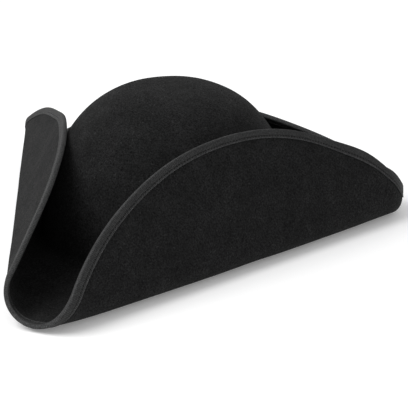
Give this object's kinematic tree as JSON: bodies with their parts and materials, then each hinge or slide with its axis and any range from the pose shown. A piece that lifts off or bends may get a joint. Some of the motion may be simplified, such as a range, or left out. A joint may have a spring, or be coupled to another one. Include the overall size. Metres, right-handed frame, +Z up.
{
  "type": "pirate hat",
  "caption": "Black felt tricorn: a low domed crown and a brim turned up in flaps, edged with folded ribbon and lined with a sweatband.",
  "frame": {"origin": "middle of the head opening, on the plane that the underside of the flat brim lies in", "axes": "+Z up through the crown, -Y towards the front corner, +X towards the wearer's left as they look along -Y"},
  "size_m": [0.3415, 0.3374, 0.1059],
  "materials": {
    "felt": "matte wool felt",
    "ribbon": "ribbed charcoal ribbon",
    "thread": "twisted thread",
    "band": "twill tape"
  },
  "bodies": {
    "root": {"felt_body": "felt", "brim_binding": "ribbon", "binding_outer_thread": "thread", "binding_inner_thread": "thread", "sweatband": "band", "sweatband_thread": "thread", "sweatband_bow": "ribbon", "tack_right": "thread", "tack_back": "thread", "tack_left": "thread"}
  },
  "joints": []
}
